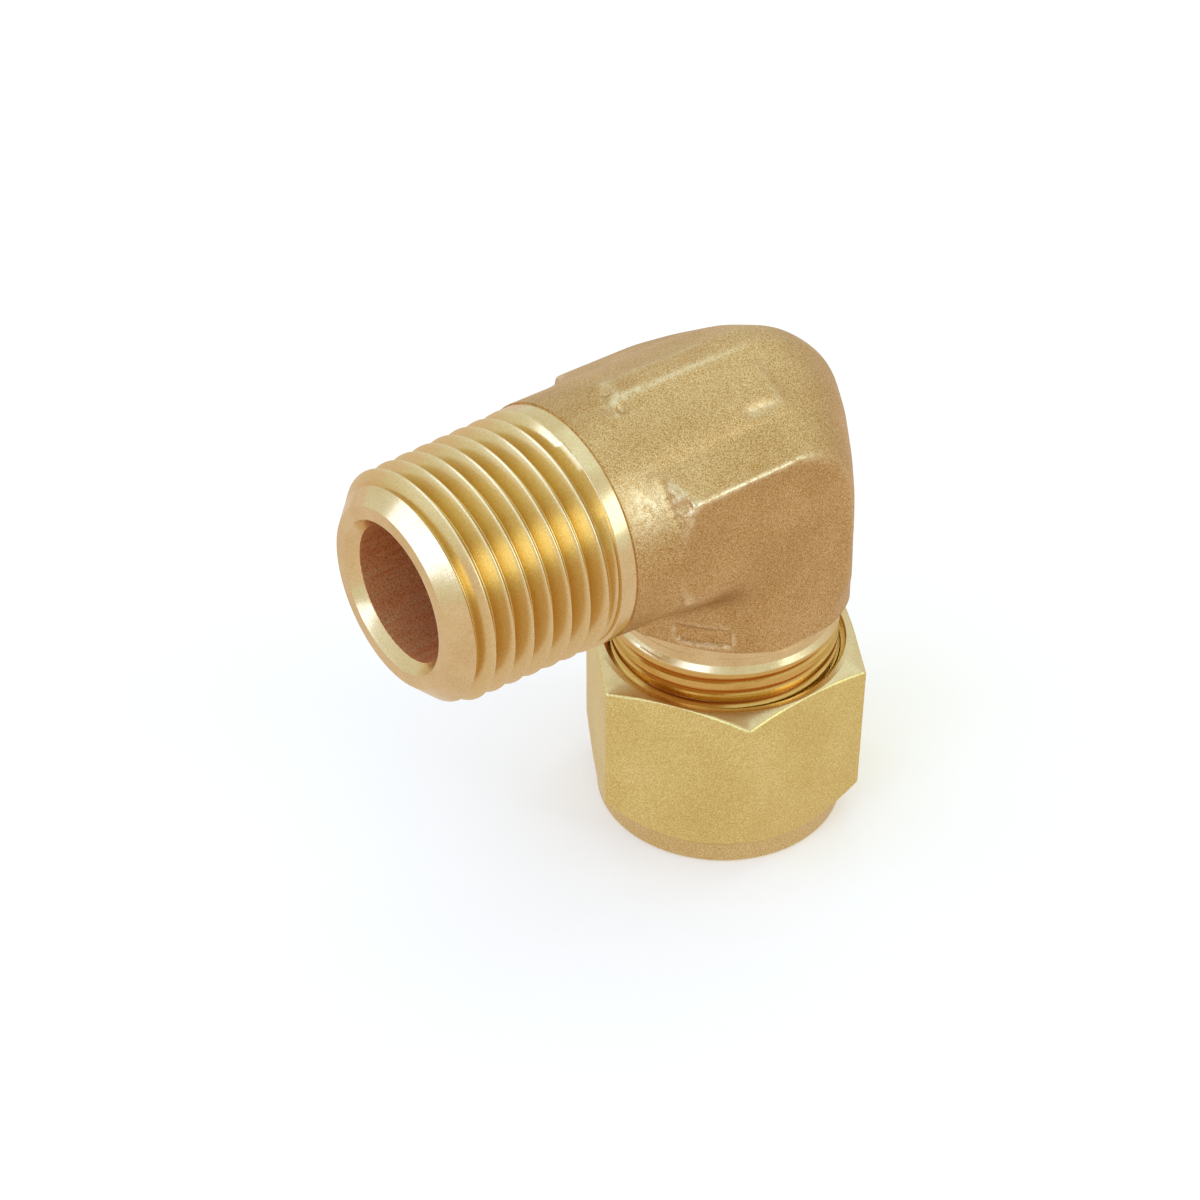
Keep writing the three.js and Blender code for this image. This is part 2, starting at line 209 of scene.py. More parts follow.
def loft(name, columns, place, closed=False):
    """A solid from columns of points that stand in a circle round Z and climb on the outside. Open columns
    are closed to the axis at both ends; closed ones make a ring."""
    vertices = [point for column in columns for point in column]
    count, n = len(columns), len(columns[0])
    faces = []
    for s in range(count):
        t = (s + 1) % count
        for i in range(n if closed else n - 1):
            j = (i + 1) % n
            faces.append((s * n + i, t * n + i, t * n + j, s * n + j))
    if not closed:
        low, high = len(vertices), len(vertices) + 1
        vertices.append((0, 0, columns[0][0][2]))
        vertices.append((0, 0, columns[0][-1][2]))
        for s in range(count):
            t = (s + 1) % count
            faces.append((low, t * n, s * n))
            faces.append((high, s * n + n - 1, t * n + n - 1))
    return mesh_object(name, vertices, faces, place)


def turned(name, profile, place, closed=False):
    """A solid turned about Z from (radius, height) points, climbing on the outside."""
    columns = []
    for s in range(ROUND):
        angle = 2 * math.pi * s / ROUND
        c, d = math.cos(angle), math.sin(angle)
        columns.append([(r * c, r * d, h) for r, h in profile])
    return loft(name, columns, place, closed)


FLANK_POINTS = (0.12, 0.88)


def thread_profile(pitch, depth, crest, root, soft):
    """One pitch of a V thread as (along, drop) points from the middle of a crest. Corners are softened,
    and two points on each flank keep it flat when it is shaded smooth."""
    flank = (pitch - crest - root) / 2
    down, up = crest / 2, crest / 2 + flank + root
    first, last = FLANK_POINTS
    points = [
        (0, 0),
        (down, 0, soft),
        (down + first * flank, first * depth),
        (down + last * flank, last * depth),
        (down + flank, depth, soft),
        (up, depth, soft),
        (up + first * flank, last * depth),
        (up + last * flank, first * depth),
        (up + flank, 0, soft),
        (pitch, 0),
    ]
    return rounded(points, 3)[:-1]


def screw(name, profile, pitch, crest_at, radius_at, low, high, place, fade=None):
    """A right-hand threaded rod along Z that reaches past low and high, closed at both ends."""
    n = len(profile)
    start = crest_at - pitch * math.ceil((crest_at - low) / pitch + 1)
    top = n * math.ceil((high - start) / pitch)
    rows = top + n + 1
    vertices = []
    for s in range(ROUND):
        share = s / ROUND
        c, d = math.cos(2 * math.pi * share), math.sin(2 * math.pi * share)
        for row in range(rows):
            along, drop = profile[row % n]
            h = start + pitch * (row // n + share) + along
            r = radius_at(h) - drop * (fade(h) if fade else 1)
            vertices.append((r * c, r * d, h))
    low_centre, high_centre = len(vertices), len(vertices) + 1
    vertices.append((0, 0, start))
    vertices.append((0, 0, start + pitch * top / n))

    def at(column, row):
        return column * rows + row if column < ROUND else row + n

    faces = []
    for s in range(ROUND):
        for row in range(top):
            faces.append((at(s, row), at(s + 1, row), at(s + 1, row + 1), at(s, row + 1)))
        faces.append((low_centre, at(s + 1, 0), at(s, 0)))
        faces.append((high_centre, at(s, top), at(s + 1, top)))
    for row in range(n):
        faces.append((low_centre, at(0, row), at(0, row + 1)))
        faces.append((high_centre, at(0, top + row + 1), at(0, top + row)))
    return mesh_object(name, vertices, faces, place)


def settle(obj):
    """Turns an object's modifiers into plain mesh."""
    bpy.context.view_layer.update()
    graph = bpy.context.evaluated_depsgraph_get()
    mesh = bpy.data.meshes.new_from_object(obj.evaluated_get(graph))
    obj.modifiers.clear()
    obj.data = mesh


def combine(target, operation, *others):
    """Joins, cuts or intersects target with the others, which are used up."""
    for other in others:
        modifier = target.modifiers.new("combine", "BOOLEAN")
        modifier.solver = "MANIFOLD"
        modifier.operation = operation
        modifier.object = other
    settle(target)
    for other in others:
        bpy.data.objects.remove(other)


def finish_mesh(obj, sharp_angle, material, *zones):
    """Smooth shading with sharp edges above the angle, and the materials: the first one, and for each
    zone (material, test) that one where the test holds. A test gets the faces' middles in millimetres
    and their normals, as two arrays with a row for each face."""
    mesh = obj.data
    mesh.name = obj.name
    mesh.materials.clear()
    count = len(mesh.polygons)
    index = np.zeros(count, dtype=np.int32)
    middles, normals = np.empty(count * 3), np.empty(count * 3)
    mesh.polygons.foreach_get("center", middles)
    mesh.polygons.foreach_get("normal", normals)
    middles, normals = middles.reshape(-1, 3) / MM, normals.reshape(-1, 3)
    mesh.materials.append(material)
    for slot, (other, test) in enumerate(zones, 1):
        mesh.materials.append(other)
        index[test(middles, normals)] = slot
    mesh.polygons.foreach_set("material_index", index)
    mesh.polygons.foreach_set("use_smooth", np.ones(count, dtype=bool))
    mesh.set_sharp_from_angle(angle=math.radians(sharp_angle))


def from_pipe_axis(points):
    return np.hypot(points[:, 1], points[:, 2] - CROSSING.z)


def from_tube_axis(points):
    return np.hypot(points[:, 0] - CROSSING.x, points[:, 1])


# Materials. Scales of the noises are in cells to the metre.

BLAST_SPECKS, LATHE_SPECKS, DRILL_SPECKS = 8600, 7200, 6500
LATHE_SPECK_SHARE, DRILL_SPECK_SHARE = 0.09, 0.3
BLAST_PITS, TONE_PATCHES, FILM_PATCHES = 1500, 150, 350
LATHE_RINGS, THREAD_RINGS, DRILL_MARKS = 7000, 9000, 2400
RING_STRETCH, DRILL_STRETCH = 0.03, 0.08

# How strongly a speck changes red, green and blue
SPECK_TINT = (0.65, 1, 1.7)
# The specks' noise is turned off the axes: on planes between its cells that kind of noise is nil
SPECK_TURN = (0.6, 0.4, 0.8)

# A paler, glossier colour where the attribute edge is high: wear, and painted highlights on creases, knocks
# and a fillet
WEAR_AND_HIGHLIGHT_COLOUR, WEAR_AND_HIGHLIGHT_SHARE, RUBBED_GLOSS = "FBEBC4", 0.6, 0.14
ALONG_X, ALONG_Z = 0, 2


def linear(colour):
    """A hex sRGB colour as linear RGBA."""
    parts = [int(colour[i:i + 2], 16) / 255 for i in (0, 2, 4)]
    return (*[p / 12.92 if p <= 0.04045 else ((p + 0.055) / 1.055) ** 2.4 for p in parts], 1)


def fill(tree, socket, value):
    """Links a socket to another one, or sets it."""
    if isinstance(value, bpy.types.NodeSocket):
        tree.links.new(value, socket)
    else:
        socket.default_value = value


def add(tree, kind, settings=None, inputs=None):
    """Adds a node, sets its properties, then sets or links its inputs by name or number."""
    node = tree.nodes.new(kind)
    for key, value in (settings or {}).items():
        setattr(node, key, value)
    for key, value in (inputs or {}).items():
        fill(tree, node.inputs[key], value)
    return node


def new_material(name):
    material = bpy.data.materials.new(name)
    material.use_nodes = True
    material.node_tree.nodes.clear()
    return material, material.node_tree


def object_place(tree):
    return add(tree, "ShaderNodeTexCoord").outputs["Object"]


def mapped(tree, vector, **settings):
    return add(tree, "ShaderNodeMapping", {}, {"Vector": vector, **settings}).outputs[0]


def calculate(tree, operation, *values):
    return add(tree, "ShaderNodeMath", {"operation": operation}, dict(enumerate(values))).outputs[0]


def calculate_vector(tree, operation, *values):
    return add(tree, "ShaderNodeVectorMath", {"operation": operation}, dict(enumerate(values)))


def mix_colour(tree, factor, a, b):
    """A mix node for colours: its sockets 6 and 7 are the two colours, and its output 2 the result."""
    node = add(tree, "ShaderNodeMix", {"data_type": "RGBA"}, {0: factor, 6: a, 7: b})
    return node.outputs[2]


def noise(tree, vector, scale, detail, roughness):
    return add(
        tree, "ShaderNodeTexNoise", {},
        {"Vector": vector, "Scale": scale, "Detail": detail, "Roughness": roughness},
    ).outputs["Fac"]


def between(tree, value, low, high, to_low, to_high):
    node = add(
        tree, "ShaderNodeMapRange", {},
        {"Value": value, "From Min": low, "From Max": high, "To Min": to_low, "To Max": to_high},
    )
    return node.outputs["Result"]


def show(tree, shader):
    out = add(tree, "ShaderNodeOutputMaterial")
    tree.links.new(shader.outputs[0], out.inputs[0])


def metal(tree, colour, roughness, normal):
    show(tree, add(
        tree, "ShaderNodeBsdfPrincipled", {},
        {"Base Color": colour, "Metallic": 1.0, "Roughness": roughness, "Normal": normal},
    ))


def bump(tree, height, depth):
    return add(
        tree, "ShaderNodeBump", {}, {"Strength": 1.0, "Distance": depth * MM, "Height": height}
    ).outputs["Normal"]


def speckled(tree, colour, where, scale, share):
    """The colour times a fine noise: its bright specks are paler than the metal, its dark ones browner.
    The noise comes with it."""
    grain = noise(tree, mapped(tree, where, Rotation=SPECK_TURN), scale, 1.0, 0.5)
    spread = [part * share for part in SPECK_TINT]
    tint = mix_colour(
        tree, between(tree, grain, 0.3, 0.7, 0, 1),
        (*[1 - part for part in spread], 1), (*[1 + part for part in spread], 1),
    )
    return calculate_vector(tree, "MULTIPLY", colour, tint).outputs[0], grain


def lathe_marks(tree, where, axis, scale):
    """Fine rings round an axis: a noise stretched round it."""
    stretch = [RING_STRETCH] * 3
    stretch[axis] = 1.0
    return noise(tree, mapped(tree, where, Scale=stretch), scale, 2.0, 0.6)


def blasted_brass(name, light, dark, roughness, grain_depth, speck_share):
    """Brass after fine blasting: a speckled satin skin, grains of about 0.12 mm that catch the light one
    by one, slow changes of tone a few millimetres wide, and places made paler and smoother by the attribute
    edge: wear on edges and knocks, and painted highlights along the creases and on a fillet."""
    material, tree = new_material(name)
    where = object_place(tree)
    pits = noise(tree, where, BLAST_PITS, 3.0, 0.6)
    tone = noise(tree, where, TONE_PATCHES, 3.0, 0.5)
    colour = mix_colour(tree, between(tree, tone, 0.35, 0.65, 0, 1), linear(light), linear(dark))
    colour, grain = speckled(tree, colour, where, BLAST_SPECKS, speck_share)
    # The attribute edge paints places paler: wear, and painted highlights on creases, knocks and a fillet
    edge = add(tree, "ShaderNodeAttribute", {"attribute_name": "edge"}).outputs["Fac"]
    patchy = between(tree, pits, 0.35, 0.55, 0.2, 1)
    wear_and_highlight = calculate(tree, "MULTIPLY", edge, patchy)
    colour = mix_colour(
        tree, between(tree, wear_and_highlight, 0, 1, 0, WEAR_AND_HIGHLIGHT_SHARE), colour, linear(WEAR_AND_HIGHLIGHT_COLOUR)
    )
    height = calculate(tree, "MULTIPLY_ADD", pits, 1.2, grain)
    dull = between(tree, grain, 0.3, 0.7, roughness - 0.06, roughness + 0.08)
    dull = calculate(tree, "MULTIPLY_ADD", wear_and_highlight, -RUBBED_GLOSS, dull)
    metal(tree, colour, dull, bump(tree, height, grain_depth))
    return material


def turned_brass(name, light, dark, roughness, axis, mark_depth):
    """Brass straight off the lathe: pale and bright, with fine rings round the axis that stretch the
    highlights, and a faint film of tarnish in patches."""
    material, tree = new_material(name)
    where = object_place(tree)
    rings = lathe_marks(tree, where, axis, LATHE_RINGS)
    film = noise(tree, where, FILM_PATCHES, 4.0, 0.55)
    colour = mix_colour(tree, between(tree, film, 0.38, 0.66, 0, 1), linear(light), linear(dark))
    colour, _ = speckled(tree, colour, where, LATHE_SPECKS, LATHE_SPECK_SHARE)
    dull = between(tree, film, 0.3, 0.7, roughness - 0.03, roughness + 0.05)
    metal(tree, colour, dull, bump(tree, rings, mark_depth))
    return material


def thread_brass(name, crest, flank, root, roughness, axis, crest_radius, taper, depth):
    """Cut thread: pale at the crests, and deeper gold down the flanks to the root, which is painted shade in
    the grooves. The crest radius is where the coordinate along the axis is 0, and taper is how it grows."""
    material, tree = new_material(name)
    where = object_place(tree)
    shift = [-CROSSING.x * MM, 0, -CROSSING.z * MM]
    shift[axis] = 0
    keep = [1, 1, 1]
    keep[axis] = 0
    off = calculate_vector(tree, "MULTIPLY_ADD", where, keep, shift).outputs[0]
    radius = calculate_vector(tree, "LENGTH", off).outputs["Value"]
    along = add(tree, "ShaderNodeSeparateXYZ", {}, {0: where}).outputs[axis]
    crest_here = calculate(tree, "MULTIPLY_ADD", along, taper, crest_radius * MM)
    drop = calculate(tree, "SUBTRACT", crest_here, radius)
    low = between(tree, drop, 0.02 * MM, 0.3 * depth * MM, 0, 1)
    high = between(tree, drop, 0.45 * depth * MM, depth * MM, 0, 1)
    # Deeper gold towards the root: painted shade in the grooves
    colour = mix_colour(tree, low, linear(crest), linear(flank))
    colour = mix_colour(tree, high, colour, linear(root))
    colour, _ = speckled(tree, colour, where, LATHE_SPECKS, LATHE_SPECK_SHARE)
    rings = lathe_marks(tree, where, axis, THREAD_RINGS)
    metal(tree, colour, roughness, bump(tree, rings, 0.002))
    return material


def drilled_brass():
    """The drilled bores: brown where the light comes in off wall after wall, with drill marks and specks."""
    material, tree = new_material("drilled_brass")
    where = object_place(tree)
    marks = noise(tree, mapped(tree, where, Scale=(DRILL_STRETCH, 1, 1)), DRILL_MARKS, 4.0, 0.6)
    colour = mix_colour(tree, between(tree, marks, 0.35, 0.65, 0, 1), linear("FFD4A4"), linear("F5B987"))
    colour, _ = speckled(tree, colour, where, DRILL_SPECKS, DRILL_SPECK_SHARE)
    metal(tree, colour, 0.5, bump(tree, marks, 0.01))
    return material


forged = blasted_brass(
    "forged_brass", "D6B27C", "C9A36C", roughness=0.42, grain_depth=0.03, speck_share=0.46
)
nut_skin = blasted_brass(
    "nut_brass", "ECD992", "E4CE85", roughness=0.36, grain_depth=0.012, speck_share=0.28
)
collar_skin = blasted_brass(
    "collar_brass", "E5CE96", "DFC68C", roughness=0.36, grain_depth=0.012, speck_share=0.28
)
pipe_brass = turned_brass(
    "turned_brass_pipe", "EAD2A2", "E2C692", roughness=0.21, axis=ALONG_X, mark_depth=0.003
)
neck_brass = turned_brass(
    "turned_brass_neck", "EAD2A2", "E2C692", roughness=0.24, axis=ALONG_Z, mark_depth=0.004
)
# Crest, flank and root colours; the deeper flank and root colours are painted shade in the grooves
pipe_thread_brass = thread_brass(
    "thread_brass_pipe", "EAD2A0", "E5CA91", "DAB66F", roughness=0.24, axis=ALONG_X,
    crest_radius=PIPE_END_CREST + CENTRE_TO_PIPE_END * PIPE_TAPER - CROSSING.x * PIPE_TAPER,
    taper=PIPE_TAPER, depth=PIPE_DEPTH,
)
neck_thread_brass = thread_brass(
    "thread_brass_neck", "EAD2A2", "E0BC70", "C88A44", roughness=0.18, axis=ALONG_Z,
    crest_radius=NECK_CREST, taper=0, depth=NECK_DEPTH,
)
bore_brass = drilled_brass()


# Elbow: the forging

def arc(x, z, radius, start, end, steps):
    angles = [start + (end - start) * k / steps for k in range(steps + 1)]
    return [(x + radius * math.cos(a), z + radius * math.sin(a)) for a in angles]


def forged_outline(level, lift):
    """The outline of both legs at a level, as (x, z) points from the crossing of the axes."""
    tube, bend, inner = level["tube"], level["bend"], level["inner"]
    low, high = level["pipe"], level["pipe"] + lift
    pipe_length, tube_length = PIPE_BARREL_END - 0.5, TUBE_BARREL_END + 1.5
    return [
        (-pipe_length, high),
        *arc(tube - bend, high - bend, bend, math.pi / 2, 0, BEND_STEPS),
        (level["tube_end"], -tube_length),
        (-level["tube_end"], -tube_length),
        *arc(-tube - inner, -low - inner, inner, 0, math.pi / 2, BEND_STEPS // 2),
        (-pipe_length, -low),
    ]


def forged_block():
    """The outlines of all levels behind each other along Y. The upper edges of the far side are higher
    by the far lift, as the dies were not quite alike."""
    half = [FACE, CHEEK, SHOULDER, LAND]
    stack = [(-level["distance"], level, 0) for level in half]
    stack += [(level["distance"], level, 0 if level is LAND else FAR_LIFT) for level in reversed(half)]
    outlines = [[(x, y, z) for x, z in forged_outline(level, lift)] for y, level, lift in stack]
    size = len(outlines[0])
    faces = []
    for start in range(0, (len(outlines) - 1) * size, size):
        for point in range(size):
            here, after = start + point, start + (point + 1) % size
            faces.append((here, after, after + size, here + size))
    faces.append(tuple(reversed(range(size))))
    last = (len(outlines) - 1) * size
    faces.append(tuple(range(last, last + size)))
    return mesh_object("elbow_forging", [p for o in outlines for p in o], faces, AT_CROSSING)


def end_fillet(block, fillet, barrel, end, place):
    """What the fillet at the end of a leg's block takes away, all round the leg."""
    corner = math.hypot(FACE["distance"], FACE["pipe"])
    curve = [
        (corner - (corner - barrel) * math.sin(a), block + fillet * (1 - math.cos(a)))
        for a in np.linspace(0, math.pi / 2, FILLET_POINTS)
    ]
    wide = corner + 1
    ring = [(wide, block), (wide, end), (barrel, end), *reversed(curve)]
    return turned("end_fillet", ring, place, closed=True)


forging = forged_block()
slanted = PIPE_LEG @ Matrix(((1, 0, 0, 0), (0, 1, 0, 0), (0, -END_SLANT, 1, 0), (0, 0, 0, 1)))
combine(
    forging, "DIFFERENCE",
    end_fillet(PIPE_BLOCK, PIPE_FILLET, PIPE_BARREL, PIPE_BARREL_END + FILLET_SPARE, slanted),
    end_fillet(TUBE_BLOCK, TUBE_FILLET, TUBE_CORNER, TUBE_BARREL_END + FILLET_SPARE, TUBE_LEG),
)
combine(
    forging, "UNION",
    turned("barrel", [(PIPE_BARREL, 0), (PIPE_BARREL, PIPE_BARREL_END + BARREL_SPARE)], PIPE_LEG),
    turned(
        "barrel",
        [
            (TUBE_BARREL - TUBE_BARREL_FLARE, 0),
            (TUBE_BARREL, TUBE_BLOCK),
            (TUBE_BARREL, TUBE_BARREL_END + BARREL_SPARE),
        ],
        TUBE_LEG,
    ),
)
remesh = forging.modifiers.new("even", "REMESH")
remesh.mode = "VOXEL"
remesh.voxel_size = FORGING_VOXEL * MM
settle(forging)


def ramp(value, low, high):
    """0 below low, 1 above high, smooth between."""
    t = np.clip((value - low) / (high - low), 0, 1)
    return t * t * (3 - 2 * t)


def neighbours_mean(values, edges):
    """For each vertex, the mean of values over the vertices it shares an edge with."""
    count = np.bincount(edges.ravel(), minlength=len(values))
    total = np.zeros_like(values)
    for axis in range(values.shape[1]):
        total[:, axis] += np.bincount(edges[:, 0], values[edges[:, 1], axis], len(values))
        total[:, axis] += np.bincount(edges[:, 1], values[edges[:, 0], axis], len(values))
    return total / count[:, None]


def relax(values, edges, weight, steps):
    """Moves each row of values towards its neighbours' mean, in place, by half its weight a step."""
    for _ in range(steps):
        values += weight[:, None] * 0.5 * (neighbours_mean(values, edges) - values)


def around(points, centre, spread):
    """1 at the centre, falling to 0 round it."""
    return np.exp(-((points - np.array(centre)) ** 2).sum(1) / spread)


# Knocks from handling, as (x, y, z, radius, depth) from the crossing of the axes
KNOCKS = [
    (-14.82, -1.35, 10.75, 0.28, 0.16),
    (-14.8, -1.95, 10.65, 0.3, 0.18),
    (-13.75, -2.15, 10.6, 0.42, 0.28),
    (-14.15, -3.05, 10.2, 0.25, 0.14),
    (-13.8, 0.05, 11.0, 0.4, 0.25),
    (-12.2, -1.5, 10.9, 0.25, 0.1),
    (-10.8, -1.5, 10.9, 0.25, 0.1),
    (-3.7, -6.5, 8.4, 0.45, 0.1),
    (-3.0, -6.5, 8.4, 0.5, 0.13),
    (-2.2, -6.55, 8.4, 0.5, 0.13),
    (-1.3, -6.6, 8.35, 0.4, 0.1),
    (-13.5, -10.5, 5.4, 0.45, 0.3),
    (5.5, 7.5, 5.5, 0.5, 0.12),
    (-7.0, 8.5, 7.2, 0.45, 0.12),
]
# The valley between the fillet and the barrel at the near upper corner of the pipe leg, as more of them
VALLEY = [
    (-14.5, -8.3, 7.05, 0.35, 0.1),
    (-14.5, -8.85, 6.5, 0.4, 0.15),
    (-14.45, -9.4, 5.8, 0.4, 0.2),
    (-14.4, -9.85, 5.1, 0.4, 0.2),
    (-14.35, -10.25, 4.35, 0.4, 0.15),
    (-14.3, -10.55, 3.7, 0.35, 0.1),
]
# How far a knock sinks for its depth, and how much paler it is painted: partly wear, partly a painted
# highlight
KNOCK_SINK, KNOCK_WEAR_AND_HIGHLIGHT = 1.5, 0.6
# The near edge of the upper land and the fillet below its end get a painted highlight, a paler colour:
# where, how far round that, and how much
CREASE_Y, CREASE_Z, CREASE_SPREAD, CREASE_HIGHLIGHT = -1.3, 10.9, 0.06, 0.4
FILLET_HIGHLIGHT_AT, FILLET_SPREAD, FILLET_HIGHLIGHT = (-16.5, -9.1, 5.7), 5, 0.8
# The sunk pad's edges, each from where it begins to where it is at full depth: degrees round the tube leg
# and heights from the crossing, with the right and the top edge's signs turned, then the least distance
# from the tube leg's axis
PAD_DEPTH = 0.28
PAD_LEFT, PAD_RIGHT = (-154.5, -152.5), (127, 129)
PAD_TOP, PAD_FOOT, PAD_REACH = (11.6, 11.9), (-13.6, -13.3), (9, 10)
# How far a place stands out over its neighbours where the paler colour begins, and where it is full: wear on
# the edges, and a painted highlight along the creases
EDGE_WEAR_AND_HIGHLIGHT = (0.002, 0.013)
EDGE_WEAR_AND_HIGHLIGHT_BLUR = 5


def work_forging(obj):
    """Rounds the remeshed block as forging does, most at the bend and where the legs meet, knocks it,
    sinks a plain pad, and stores how pale each place is painted as the attribute edge: wear on edges and
    knocks, and painted highlights along the creases and on a fillet."""
    mesh = obj.data
    count = len(mesh.vertices)
    points = np.empty(count * 3)
    mesh.vertices.foreach_get("co", points)
    points = points.reshape(-1, 3) / MM - np.array(CROSSING)
    edges = np.empty(len(mesh.edges) * 2, dtype=np.int64)
    mesh.edges.foreach_get("vertices", edges)
    edges = edges.reshape(-1, 2)
    x, y, z = points.T
    everywhere = np.ones(count)

    # Under the pipe leg, and there most beside the tube leg; then the bend; then all of it a little
    under = ramp(-z, 4, 6.5) * ramp(np.abs(y), 2, 5)
    relax(points, edges, under, 36)
    relax(points, edges, under * ramp(-x, 3, 6), 220)
    relax(points, edges, ramp(x, -4, 2) * ramp(z, -4, 0), 26)
    relax(points, edges, everywhere, 2)

    normals = np.empty(count * 3)
    mesh.vertices.foreach_get("normal", normals)
    normals = normals.reshape(-1, 3)
    wear_and_highlights = np.zeros(count)
    # Paler spots in the knocks: partly wear, partly a painted highlight
    for marks, wear_and_highlight_share in ((KNOCKS, KNOCK_WEAR_AND_HIGHLIGHT), (VALLEY, 0)):
        for *centre, radius, depth in marks:
            here = around(points, centre, radius ** 2)
            points -= normals * (KNOCK_SINK * depth * here)[:, None]
            wear_and_highlights += wear_and_highlight_share * here
    # Painted highlight along the near edge of the upper land, and on the fillet below its end
    crease = np.exp(-((y - CREASE_Y) ** 2 + (z - CREASE_Z) ** 2) / CREASE_SPREAD)
    wear_and_highlights += CREASE_HIGHLIGHT * crease * ramp(-x, -1, 2)
    wear_and_highlights += FILLET_HIGHLIGHT * around(points, FILLET_HIGHLIGHT_AT, FILLET_SPREAD)

    angle = np.degrees(np.arctan2(y, x))
    pad = ramp(angle, *PAD_LEFT) * ramp(-angle, *PAD_RIGHT)
    pad *= ramp(-z, *PAD_TOP) * ramp(z, *PAD_FOOT) * ramp(np.hypot(x, y), *PAD_REACH)
    points -= normals * (PAD_DEPTH * pad)[:, None]

    # How far each place stands out: painted paler there, as edge wear and a painted highlight along the
    # creases
    out = -((neighbours_mean(points, edges) - points) * normals).sum(1)[:, None]
    relax(out, edges, everywhere, EDGE_WEAR_AND_HIGHLIGHT_BLUR)
    mesh.vertices.foreach_set("co", ((points + np.array(CROSSING)) * MM).ravel())
    attribute = mesh.attributes.new("edge", "FLOAT", "POINT")
    attribute.data.foreach_set("value", np.clip(ramp(out[:, 0], *EDGE_WEAR_AND_HIGHLIGHT) + wear_and_highlights, 0, 1))
    mesh.update()


work_forging(forging)


def drilled(end, place):
    """A leg's passage, with the drill's point past the crossing of the axes."""
    return turned("drill", [(AXIS, -BORE - DRILL_TIP), (BORE, -DRILL_TIP), (BORE, end)], place)


combine(
    forging, "DIFFERENCE",
    turned("cut", [(CUT_RADIUS, PIPE_BARREL_END), (CUT_RADIUS, PIPE_BARREL_END + CUT_SPARE)], PIPE_LEG),
    turned("cut", [(CUT_RADIUS, TUBE_BARREL_END), (CUT_RADIUS, TUBE_BARREL_END + CUT_SPARE)], TUBE_LEG),
    drilled(CENTRE_TO_PIPE_END, PIPE_LEG),
    drilled(TUBE_STOP + 2, TUBE_LEG),
    turned("socket", [(SOCKET, TUBE_STOP), (SOCKET, TUBE_BARREL_END + CUT_SPARE)], TUBE_LEG),
)


def in_bores(points, normals):
    """Faces of the drilled passages: near an axis and facing it, or in a drill's point."""
    x, z = points[:, 0] - CROSSING.x, points[:, 2] - CROSSING.z
    to_pipe = -(normals[:, 1] * points[:, 1] + normals[:, 2] * z)
    to_tube = -(normals[:, 0] * x + normals[:, 1] * points[:, 1])
    pipe_side = (from_pipe_axis(points) < BORE + 0.05) & (to_pipe > 0) & (x < BORE + DRILL_TIP)
    tube_side = (from_tube_axis(points) < SOCKET + 0.05) & (to_tube > 0) & (z < BORE + 2)
    return (pipe_side & (np.abs(z) < BORE + 0.1)) | (tube_side & (np.abs(x) < SOCKET + 0.1))


finish_mesh(forging, 40, forged, (bore_brass, in_bores))


# Elbow: the pipe end

THREAD_START = PIPE_BARREL_END + BAND_LENGTH


def pipe_crest(height):
    return PIPE_END_CREST + (CENTRE_TO_PIPE_END - height) * PIPE_TAPER


def pipe_fade(height):
    """The groove runs out gently where it meets the band."""
    share = min(1.0, max(0.0, (height - THREAD_START + 0.5) / (0.9 * PIPE_PITCH)))
    return max(0.12, share * share * (3 - 2 * share))


pipe_end = screw(
    "elbow_pipe_end",
    thread_profile(PIPE_PITCH, PIPE_DEPTH, PIPE_CREST, PIPE_ROOT, 0.04),
    PIPE_PITCH, PIPE_CREST_AT, pipe_crest,
    PIPE_BARREL_END - 2, CENTRE_TO_PIPE_END + 0.5, PIPE_LEG, fade=pipe_fade,
)
end_chamfer = pipe_crest(CENTRE_TO_PIPE_END) + 0.4 - END_RING
envelope = turned(
    "envelope",
    rounded(
        [
            (pipe_crest(THREAD_START) + 0.2, THREAD_START - 0.3),
            (pipe_crest(CENTRE_TO_PIPE_END) + 0.5, CENTRE_TO_PIPE_END - end_chamfer - 0.1, 0),
            (END_RING, CENTRE_TO_PIPE_END, END_RING_ROUND),
            (AXIS, CENTRE_TO_PIPE_END),
        ]
    ),
    PIPE_LEG,
)
combine(pipe_end, "INTERSECT", envelope)
combine(
    pipe_end, "UNION",
    turned(
        "band",
        rounded(
            [
                (AXIS, PIPE_BARREL_END - LAP),
                (BAND_RADIUS, PIPE_BARREL_END - LAP, 0),
                (BAND_RADIUS, THREAD_START, 0.1),
                (BAND_RADIUS - 0.3, THREAD_START + 0.1),
            ]
        ),
        PIPE_LEG,
    ),
)
mouth_slope = (PIPE_MOUTH - BORE) / PIPE_MOUTH_DEPTH
combine(
    pipe_end, "DIFFERENCE",
    turned(
        "bore",
        rounded(
            [
                (BORE, PIPE_BARREL_END - 1),
                (BORE, CENTRE_TO_PIPE_END - PIPE_MOUTH_DEPTH, 0.1),
                (PIPE_MOUTH, CENTRE_TO_PIPE_END, 0),
                (PIPE_MOUTH + mouth_slope * 0.5, CENTRE_TO_PIPE_END + 0.5),
            ]
        ),
        PIPE_LEG,
    ),
)


def on_pipe_thread(points, normals):
    """Faces of the thread. Those of the band, the end ring and the chamfer, which faces the end at 45
    degrees, are left out: they are as bright as turned."""
    past_band = points[:, 0] < CROSSING.x - THREAD_START - 0.05
    radius, towards_end = from_pipe_axis(points), -normals[:, 0]
    crests_and_backs = past_band & (radius > PIPE_MOUTH + 1) & (towards_end < 0.68)
    fronts = (radius > END_RING + 1) & (towards_end > 0.74)
    return crests_and_backs | fronts


